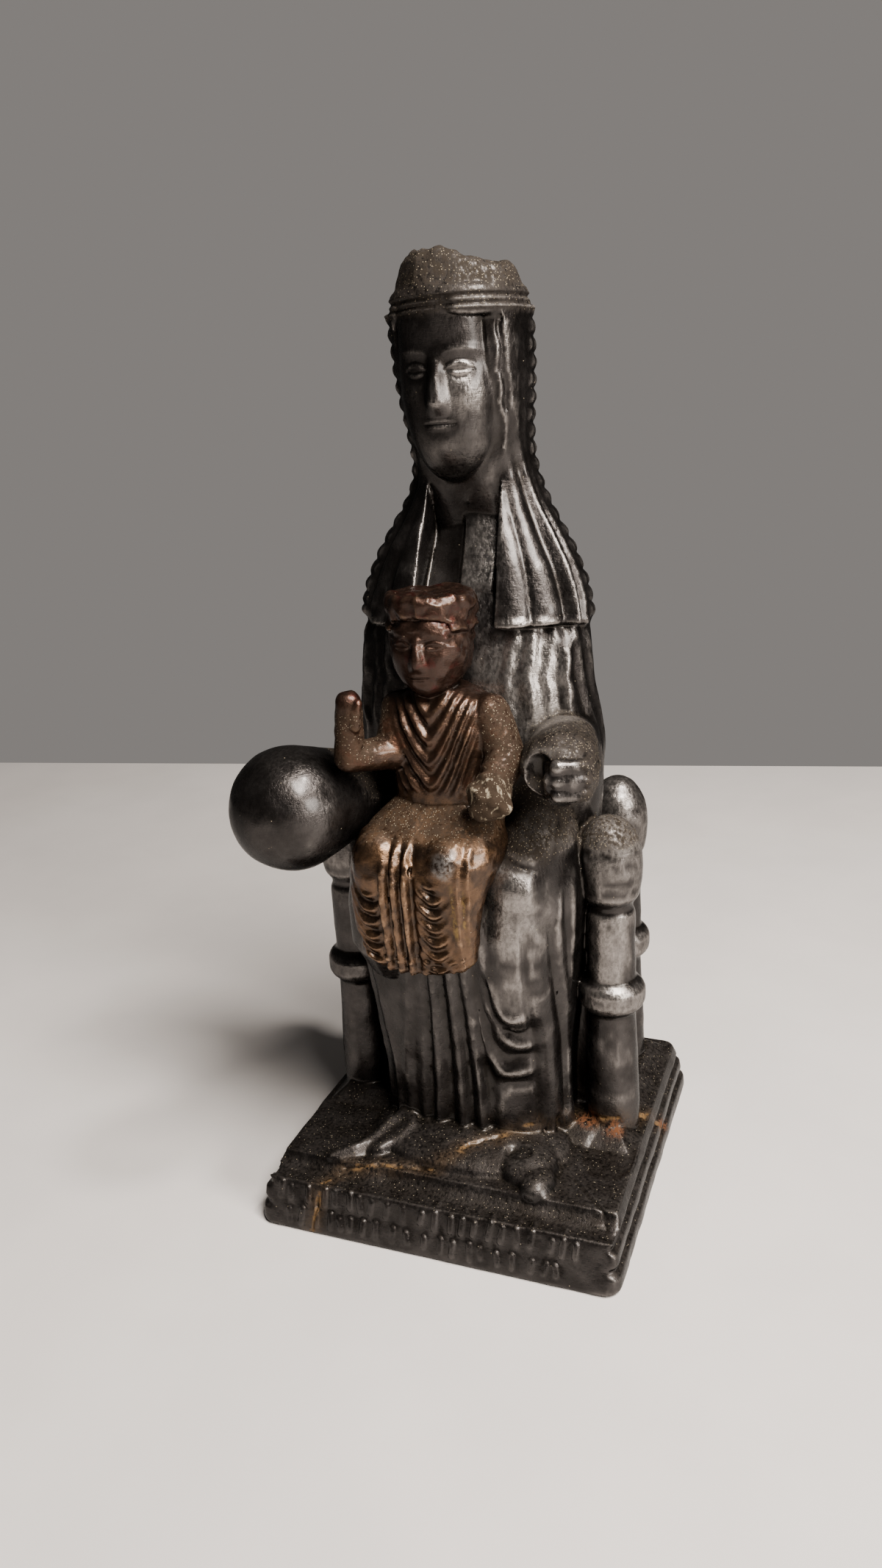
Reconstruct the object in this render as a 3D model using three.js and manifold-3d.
// An enthroned Virgin with the seated Child on her lap: a small cast figure on a stepped plinth.
// Millimetres, +Z up. The front faces -Y and the origin is in the middle of the plinth's underside.
import * as THREE from 'three';
import { mergeVertices } from 'three/addons/utils/BufferGeometryUtils.js';
import Module from 'manifold-3d';

const wasm = await Module();
wasm.setup();

// Plinth
const PLINTH_WIDTH = 40;
const PLINTH_HEIGHT = 6.2;
const PLINTH_CORNER = 2;
const FRONT_SLOPE = 0.36;
const STEP_TOP = 7.6;
const COVE = { y: -16.8, z: 6.9, depth: 2.2, height: 2.1 };

// Throne
const FRONT_POST = { x: 15, y: 0.2 };
const REAR_POST = { x: 13, y: 12.9 };
const SHAFT_RADIUS = 2.5;
const RING_RADIUS = 3.6;
const RING_Z = 22.8;
const FINIAL_RADIUS = 3.4;
const FINIAL_TOP = 42.9;
const SEAT = { halfWidth: 13.2, front: 1, back: 14.4, top: 34 };
const RAIL_HEIGHT = 3.4;
const RAIL_PROUD = 0.8;

// The Virgin, from the hem of the skirt up
const KNEE = { x: 7.4, y: -6.6, z: 38.6 };
const VEIL_HEM = 61.8;
const VEIL_TOP = 92.4;
const FACE = { y: 4.3, z: 85.4, halfWidth: 5.1, halfDepth: 5.7, halfHeight: 7.2 };
const CROWN = { y: 4.1, bottom: 91.8, band: 93.9, top: 97.2, radius: 6.85 };
const ORB = { x: -14.9, y: -12, z: 45.9, radius: 6.4 };
const LEFT_CUFF = { x: 12.3, y: -8.9, z: 50.5, radius: 3.6 };
const PLEATS = 12;
const DRESS_FOLDS = 12;

// The Child
const CHILD_HEAD = { x: -0.8, y: -6.2, z: 61.8 };
const CHILD_CROWN_RADIUS = 4.35;
const CHILD_HEM = 29.9;
const FIT_GAP = 0.3;

const vector = (x, y, z) => new THREE.Vector3(x, y, z);

// A value that runs smoothly through stations of [height, value], lowest first
function through(stations, height) {
  const last = stations.length - 1;
  if (height <= stations[0][0]) return stations[0][1];
  if (height >= stations[last][0]) return stations[last][1];
  const next = stations.findIndex(([z]) => z > height);
  const slope = (index) => {
    const [z0, v0] = stations[Math.max(index - 1, 0)];
    const [z1, v1] = stations[Math.min(index + 1, last)];
    return (v1 - v0) / (z1 - z0);
  };
  const [z0, v0] = stations[next - 1];
  const [z1, v1] = stations[next];
  const span = z1 - z0;
  const t = (height - z0) / span;
  const rise = t * t * (3 - 2 * t);
  return v0 + (v1 - v0) * rise
    + span * t * (1 - t) * (slope(next - 1) * (1 - t) - slope(next) * t);
}

// A closed skin of stacked rings. at(turn, rise) is the point a fraction turn round the ring, and a
// fraction rise of the way from the lowest ring to the highest, and a fan of triangles closes each end.
function loft(around, rings, at) {
  const geometry = new THREE.SphereGeometry(1, around, rings + 1);
  const position = geometry.attributes.position;
  const ringPoint = (row, column) => at((column % around) / around, (rings - row) / (rings - 1));
  const middle = (row) => {
    const sum = vector(0, 0, 0);
    for (let column = 0; column < around; column++) sum.add(ringPoint(row, column));
    return sum.divideScalar(around);
  };
  for (let row = 0; row <= rings + 1; row++) {
    const capRow = Math.min(Math.max(row, 1), rings);
    const cap = capRow === row ? null : middle(capRow);
    for (let column = 0; column <= around; column++) {
      const point = cap ?? ringPoint(row, column);
      position.setXYZ(row * (around + 1) + column, point.x, point.y, point.z);
    }
  }
  return geometry;
}

// The fraction turn runs anticlockwise seen from above, and bearing is its angle from the front
const angleOf = (turn) => turn * 2 * Math.PI;
const bearingOf = (angle) => THREE.MathUtils.euclideanModulo(angle + Math.PI * 1.5, 2 * Math.PI) - Math.PI;
const between = (low, high, value) => THREE.MathUtils.smoothstep(value, low, high);

// A point on an oval of half-widths 1, whose corners fill out as squareness goes above 2
function ovalPoint(angle, squareness) {
  const across = Math.cos(angle);
  const along = (1 - Math.abs(across) ** squareness) ** (1 / squareness);
  return [across, Math.sign(Math.sin(angle)) * along];
}

const mirrored = (stations) => stations.map(([height, value]) => [height, -value]);

// A form that stands upright between its left, right, front and back lines, each a list of stations.
// fold gives how far the skin is pushed outwards at a point of its oval.
function standingForm({ bottom, top, around, rings, squareness, left, right, front, back, fold }) {
  return loft(around, rings, (turn, rise) => {
    const z = bottom + (top - bottom) * rise;
    const [across, along] = ovalPoint(angleOf(turn), squareness);
    const [x0, x1, y0, y1] = [left, right, front, back].map((line) => through(line, z));
    const push = fold({ across, along, bearing: bearingOf(angleOf(turn)), z });
    return vector(
      (x0 + x1) / 2 + across * ((x1 - x0) / 2 + push),
      (y0 + y1) / 2 + along * ((y1 - y0) / 2 + push),
      z,
    );
  });
}

function ball(center, radii, around) {
  return new THREE.SphereGeometry(1, around, Math.round(around * 0.75))
    .rotateX(Math.PI / 2)
    .scale(radii.x, radii.y, radii.z)
    .translate(center.x, center.y, center.z);
}

// Two balls and the cone that touches both
function limb(start, end, startRadius, endRadius, around) {
  const geometry = new THREE.SphereGeometry(1, around, around);
  const axis = end.clone().sub(start);
  const length = axis.length();
  axis.normalize();
  geometry.applyQuaternion(new THREE.Quaternion().setFromUnitVectors(vector(0, 1, 0), axis));
  const position = geometry.attributes.position;
  const touching = (startRadius - endRadius) / length;
  for (let index = 0; index < position.count; index++) {
    const normal = vector(0, 0, 0).fromBufferAttribute(position, index);
    const nearEnd = normal.dot(axis) > touching;
    const point = normal.multiplyScalar(nearEnd ? endRadius : startRadius).add(nearEnd ? end : start);
    position.setXYZ(index, point.x, point.y, point.z);
  }
  return geometry;
}

// A profile of [radius, height] pairs, bottom first, turned round a vertical axis
function turned(profile, around) {
  const points = profile.map(([radius, height]) => new THREE.Vector2(radius, height));
  return new THREE.LatheGeometry(points, around).rotateX(Math.PI / 2);
}

function block(x0, x1, y0, y1, z0, z1) {
  return new THREE.BoxGeometry(x1 - x0, y1 - y0, z1 - z0)
    .translate((x0 + x1) / 2, (y0 + y1) / 2, (z0 + z1) / 2);
}

function solid(geometry) {
  const bare = geometry.clone();
  bare.deleteAttribute('normal');
  bare.deleteAttribute('uv');
  const welded = mergeVertices(bare, 1e-4);
  return new wasm.Manifold(new wasm.Mesh({
    numProp: 3,
    vertProperties: welded.attributes.position.array,
    triVerts: Uint32Array.from(welded.index.array),
  }));
}

const joined = (geometries) => geometries.map(solid).reduce((sum, next) => sum.add(next));

function meshOf(manifold, name, material) {
  const { vertProperties, triVerts } = manifold.getMesh();
  const geometry = new THREE.BufferGeometry();
  geometry.setAttribute('position', new THREE.BufferAttribute(vertProperties, 3));
  geometry.setIndex(new THREE.BufferAttribute(triVerts, 1));
  geometry.computeVertexNormals();
  const mesh = new THREE.Mesh(geometry, material);
  mesh.name = name;
  return mesh;
}

// The plinth: a square slab with two grooves round it, a front that leans out and a cove along its top
function plinth() {
  const steps = [
    [0, 0.3], [0.4, 0], [1.9, 0.1], [2.2, 0.7], [2.6, 0.7], [2.9, 0.35],
    [4.0, 0.5], [4.3, 1.1], [4.7, 1.1], [5.0, 0.8], [PLINTH_HEIGHT, 1.3],
  ];
  const arcSteps = 4;
  const around = 4 * (arcSteps + 1);
  const half = PLINTH_WIDTH / 2;
  return loft(around, steps.length, (turn, rise) => {
    const [z, inset] = steps[Math.round(rise * (steps.length - 1))];
    const step = Math.round(turn * around);
    const corner = Math.floor(step / (arcSteps + 1));
    const angle = (corner + (step % (arcSteps + 1)) / arcSteps) * Math.PI / 2;
    const radius = PLINTH_CORNER - inset / 2;
    const side = half - inset - radius;
    const x = (corner === 0 || corner === 3 ? side : -side) + radius * Math.cos(angle);
    const y = (corner < 2 ? side : -side) + radius * Math.sin(angle);
    const frontLine = -half + FRONT_SLOPE * z;
    return vector(x, Math.max(y, frontLine), z);
  });
}

// The low step under the throne, its edges sloping down to the plinth
function throneStep() {
  const rows = [[PLINTH_HEIGHT - 0.4, 0], [PLINTH_HEIGHT + 0.2, 0.4], [STEP_TOP, 1.8]];
  const front = -5.5;
  const back = 17.6;
  const half = 18.2;
  return loft(4, rows.length, (turn, rise) => {
    const [z, inset] = rows[Math.round(rise * (rows.length - 1))];
    const corner = Math.round(turn * 4);
    const x = (corner === 0 || corner === 3 ? 1 : -1) * (half - inset);
    return vector(x, corner < 2 ? back - inset : front + inset * 1.4, z);
  });
}

function cove() {
  return new THREE.CylinderGeometry(1, 1, PLINTH_WIDTH + 4, 20)
    .rotateZ(Math.PI / 2)
    .scale(1, COVE.depth, COVE.height)
    .translate(0, COVE.y, COVE.z);
}

// A throne post: a shaft with a ring half way up and an egg-shaped finial
function post({ x, y }) {
  const sunk = PLINTH_HEIGHT - 0.6;
  const finialBottom = 32.6;
  const profile = [
    [0, sunk], [SHAFT_RADIUS + 0.3, sunk], [SHAFT_RADIUS + 0.4, 12], [SHAFT_RADIUS, RING_Z - 2.1],
    [RING_RADIUS, RING_Z - 0.8], [RING_RADIUS, RING_Z + 0.8], [SHAFT_RADIUS, RING_Z + 2.1],
    [SHAFT_RADIUS - 0.1, finialBottom], [FINIAL_RADIUS - 0.4, 34.4], [FINIAL_RADIUS, 37.4],
    [FINIAL_RADIUS * 0.9, 40.2], [FINIAL_RADIUS * 0.55, 42.2], [0, FINIAL_TOP],
  ];
  return turned(profile, 11).translate(x, y, 0);
}

// The seat between the posts, with a rail along the top and the bottom of its sides and back
function seat() {
  const bottom = PLINTH_HEIGHT - 0.5;
  const side = SEAT.halfWidth;
  const rails = [bottom, SEAT.top - RAIL_HEIGHT].flatMap((z) => [
    block(-side - RAIL_PROUD, side + RAIL_PROUD, SEAT.front + 1, SEAT.back - 2, z, z + RAIL_HEIGHT),
    block(-side + 1, side - 1, SEAT.back - 2, SEAT.back + RAIL_PROUD, z, z + RAIL_HEIGHT),
  ]);
  return [block(-side, side, SEAT.front, SEAT.back, bottom, SEAT.top), ...rails];
}

// The skirt: a squarish column whose front carries folds
function skirt() {
  const bottom = PLINTH_HEIGHT - 0.5;
  const top = 40;
  const foldWidth = 3.2;
  const foldDepth = [[bottom, 0.55], [20, 0.5], [32, 0.25], [top, 0]];
  const right = [[bottom, 10.5], [14, 10.6], [22, 11.4], [30, 12.2], [36, 12.6], [top, 12]];
  return standingForm({
    bottom,
    top,
    around: 40,
    rings: 8,
    squareness: 3,
    left: mirrored(right),
    right,
    front: [[bottom, -7.9], [14, -8], [24, -8.8], [32, -9.8], [37, -9.4], [top, -7]],
    back: [[bottom, 8]],
    fold: ({ across, along, z }) => {
      const x = across * through(right, z);
      return Math.cos(x / foldWidth * 2 * Math.PI) * through(foldDepth, z) * between(0.3, 0.8, -along);
    },
  });
}

// A knee and the shin under it. The left one ends in looped folds that sag towards the front.
function shin(side) {
  const sag = 0.4;
  const loops = side < 0 ? [[0, -14], [2.4, -11.6]] : [
    [0, -21], [2.2, -19.8], [2.6, -18.4], [2.3, -17.2], [3.3, -15.4], [3, -13.8], [3.9, -11.8], [3.7, -10.4],
  ];
  const profile = [...loops, [4.3, -7.5], [4.3, -3.2], [3.9, -0.4], [2.6, 1.6], [0, 2.4]];
  return turned(profile, 12)
    .applyMatrix4(new THREE.Matrix4().makeShear(0, 0, 0, sag, 0, 0))
    .translate(side * KNEE.x, KNEE.y, KNEE.z);
}

// The thighs run from the hips to the knees
function legs() {
  const thigh = (side) => limb(
    vector(side * 6.8, 3, 40.2), vector(side * KNEE.x, KNEE.y + 0.2, KNEE.z - 1.4), 4.6, 4.1, 10,
  );
  return [-1, 1].flatMap((side) => [shin(side), thigh(side)]);
}

// Both shoes and the trailing hem between them
function feet() {
  return [
    ball(vector(0.5, -6.8, PLINTH_HEIGHT), vector(11.4, 6.6, 2.4), 14),
    limb(vector(-9.2, -7.6, 7.6), vector(-10.7, -13.9, 7), 1.7, 0.9, 8),
    limb(vector(7.6, -8, 8), vector(9.8, -12.9, 7.7), 1.9, 1.9, 8),
  ];
}

// The dress from the seat to the neck
function dress() {
  const bottom = 33;
  const top = 75;
  const foldDepth = [[bottom, 0], [46, 0.1], [52, 0.35], [60, 0.35], [66, 0.1], [top, 0]];
  const right = [
    [bottom, 12.2], [40, 13], [45, 13.5], [50, 13.3], [56, 12.5], [62, 11.9], [66, 9.6], [70, 6], [top, 3.4],
  ];
  return standingForm({
    bottom,
    top,
    around: 36,
    rings: 10,
    squareness: 2.3,
    left: mirrored(right),
    right,
    front: [[bottom, -3], [45, -3.6], [56, -3.2], [62, -1.6], [66, 1.2], [70, 3.2], [top, 4.6]],
    back: [[bottom, 10.6], [62, 10.6], [70, 10.4], [top, 10]],
    fold: ({ bearing, z }) => Math.cos(bearing * DRESS_FOLDS) * through(foldDepth, z),
  });
}

// The veil from under the crown to its hem, with pleats that fan out over the shoulders
function veil() {
  const pleatDepth = [[VEIL_HEM, 0.5], [70, 0.4], [76, 0.2], [82, 0]];
  const right = [
    [VEIL_HEM, 12.4], [65, 12], [68, 11], [71, 9.4], [74, 7.6], [77, 6.4], [80, 6.1],
    [83, 6.35], [86, 6.6], [89, 6.75], [VEIL_TOP, 6.8],
  ];
  return standingForm({
    bottom: VEIL_HEM,
    top: VEIL_TOP,
    around: 48,
    rings: 11,
    squareness: 2.15,
    left: mirrored(right),
    right,
    front: [
      [VEIL_HEM, -2.9], [65, -2.2], [68, -1.2], [71, 0], [74, 1.4], [77, 2], [80, 0.8],
      [83, -0.5], [86, -1.2], [89, -1.8], [VEIL_TOP, -2.4],
    ],
    back: [[VEIL_HEM, 11.4], [71, 11.1], [77, 11.1], [84, 11.3], [88, 11.2], [VEIL_TOP, 10.7]],
    fold: ({ bearing, z }) => Math.cos(bearing * PLEATS) * through(pleatDepth, z),
  });
}

// What the veil leaves open in front: the face, and a strip of the chest down to the hem
function veilOpening() {
  const bottom = VEIL_HEM - 2;
  const top = 91.4;
  const halfWidth = [[bottom, 4.5], [68, 4.2], [75, 3.9], [79, 4.3], [83, 5.3], [88, 5.4], [top, 4.6]];
  return loft(4, 12, (turn, rise) => {
    const z = bottom + (top - bottom) * rise;
    const corner = Math.round(turn * 4);
    const x = (corner === 0 || corner === 3 ? 1 : -1) * through(halfWidth, z);
    return vector(x, corner < 2 ? 5.5 : -9, z);
  });
}

// The head, with a plain brow, nose and chin, on its neck
function head() {
  return [
    ball(vector(0, FACE.y, FACE.z), vector(FACE.halfWidth, FACE.halfDepth, FACE.halfHeight), 16),
    ball(vector(0, 1.7, 80.4), vector(2.5, 2.4, 1.9), 10),
    limb(vector(0, -0.5, 88.3), vector(0, -1.6, 84.4), 0.5, 0.75, 6),
    limb(vector(0, 7.8, 73.5), vector(0, 5.2, 80), 3.5, 3.2, 10),
  ];
}

// The crown: eight soft facets over a band, its upper edge broken away unevenly
function crown() {
  const rows = [
    [CROWN.bottom, 1], [92.6, 1.01], [CROWN.band, 0.99], [94.1, 0.93],
    [95.6, 0.86], [96.6, 0.76], [CROWN.top, 0.6],
  ];
  return loft(24, rows.length, (turn, rise) => {
    const [z, share] = rows[Math.round(rise * (rows.length - 1))];
    const angle = angleOf(turn);
    const facet = 1 - 0.025 * Math.cos(8 * angle);
    const radius = CROWN.radius * share * facet;
    const jagged = 0.3 * Math.sin(3 * angle + 0.6) + 0.25 * Math.sin(7 * angle);
    const broken = rise * (jagged - 0.3 * Math.cos(angle));
    return vector(radius * Math.cos(angle) * 0.98, CROWN.y + radius * Math.sin(angle), z + broken);
  });
}

// Her right forearm with the orb on its open hand, and her left forearm ending in a closed hand
function arms() {
  const orb = vector(ORB.x, ORB.y, ORB.z);
  const cuff = vector(LEFT_CUFF.x, LEFT_CUFF.y, LEFT_CUFF.z);
  const leftElbow = vector(10, 2.5, 50.2);
  return [
    limb(vector(-8, 1.5, 45.4), orb, 2.3, ORB.radius, 16),
    limb(leftElbow, cuff, 3.3, LEFT_CUFF.radius, 12),
    ball(vector(LEFT_CUFF.x + 0.6, LEFT_CUFF.y - 2.8, LEFT_CUFF.z), vector(2.3, 1.8, 2.5), 8),
  ];
}

function virginOnThrone() {
  const posts = [FRONT_POST, REAR_POST].flatMap(({ x, y }) => [post({ x, y }), post({ x: -x, y })]);
  const veiled = solid(veil()).subtract(solid(veilOpening()));
  const clothed = [skirt(), ...legs(), ...feet(), dress(), ...arms(), ...head(), crown()];
  const base = solid(plinth()).subtract(solid(cove()));
  return base.add(joined([throneStep(), ...posts, ...seat(), ...clothed])).add(veiled);
}

// The Child's tunic above the lap
function childBody() {
  const bottom = 43.6;
  const top = 57.6;
  return standingForm({
    bottom,
    top,
    around: 18,
    rings: 6,
    squareness: 2.2,
    left: [[bottom, -5.5], [50, -5.4], [54, -6], [56.4, -5.5], [top, -2.9]],
    right: [[bottom, 4.9], [50, 4.8], [54, 5.4], [56.4, 4.9], [top, 2.3]],
    front: [[bottom, -9.8]],
    back: [[bottom, -2.8]],
    fold: () => 0,
  });
}

// The Child's robe spreads over the lap and hangs before it
function childRobe() {
  const top = 46.4;
  const foldDepth = [[CHILD_HEM, 0.5], [38, 0.45], [43, 0.25], [top, 0]];
  return standingForm({
    bottom: CHILD_HEM,
    top,
    around: 26,
    rings: 8,
    squareness: 3,
    left: [[CHILD_HEM, -7.5], [34, -8.1], [40, -8.9], [43, -8.4], [top, -5.4]],
    right: [[CHILD_HEM, 4.4], [34, 4.8], [38, 5.3], [41, 6.4], [43, 6.4], [top, 4.8]],
    front: [[CHILD_HEM, -14.4], [34, -14.8], [40, -15.2], [42.6, -14.4], [44.6, -12.4], [top, -9.8]],
    back: [[CHILD_HEM, -10.6], [37, -9.6], [40, -5], [top, -3]],
    fold: ({ across, along, z }) => (
      Math.cos(across * 3 * Math.PI) * through(foldDepth, z) * between(0.4, 0.8, -along)
    ),
  });
}

function childKnees() {
  return [-5.4, 2].map((x) => ball(vector(x, -12.6, 40.6), vector(2.9, 2.9, 3.8), 8));
}

function childHead() {
  const { x, y, z } = CHILD_HEAD;
  const crownProfile = [
    [0, 63], [4, 63.4], [CHILD_CROWN_RADIUS, 64.2], [CHILD_CROWN_RADIUS + 0.1, 66.1], [4.1, 66.8], [0, 67],
  ];
  return [
    ball(vector(x, y, z), vector(4, 4.2, 4.7), 12),
    limb(vector(x, y - 4, z - 0.1), vector(x, y - 4.2, z - 0.9), 0.4, 0.6, 6),
    turned(crownProfile, 14).translate(x, y + 0.2, 0),
  ];
}

// The raised right hand, and the left hand with a round fruit
function childArms() {
  const rightElbow = vector(-4.8, -8.4, 51.3);
  const rightWrist = vector(-8, -11.8, 51.6);
  const leftElbow = vector(6.5, -7, 50.8);
  return [
    limb(vector(-4.6, -6.2, 55), rightElbow, 2.1, 1.9, 8),
    limb(rightElbow, rightWrist, 1.8, 1.55, 8),
    limb(rightWrist, vector(-7.4, -12.3, 57.4), 1.55, 1.35, 8),
    limb(vector(4.7, -6.2, 55), leftElbow, 2.1, 2, 8),
    limb(leftElbow, vector(6.2, -10.4, 49), 2, 1.7, 8),
    ball(vector(6, -11.1, 48), vector(2.5, 2.4, 2.4), 8),
  ];
}

// The Child is cut to sit on the lap and against the dress with a small gap all over
function child(virgin) {
  const whole = joined([childBody(), childRobe(), ...childKnees(), ...childHead(), ...childArms()]);
  return whole.subtract(virgin.translate([0, -FIT_GAP, FIT_GAP]));
}

const darkMetal = new THREE.MeshStandardMaterial({ color: 0x3b3833, metalness: 0.9, roughness: 0.42 });
const gildedMetal = new THREE.MeshStandardMaterial({ color: 0x5a3a24, metalness: 0.8, roughness: 0.5 });

const virgin = virginOnThrone();
const figure = new THREE.Group();
figure.add(meshOf(virgin, 'virgin_on_throne', darkMetal));
figure.add(meshOf(child(virgin), 'child', gildedMetal));

export default figure;
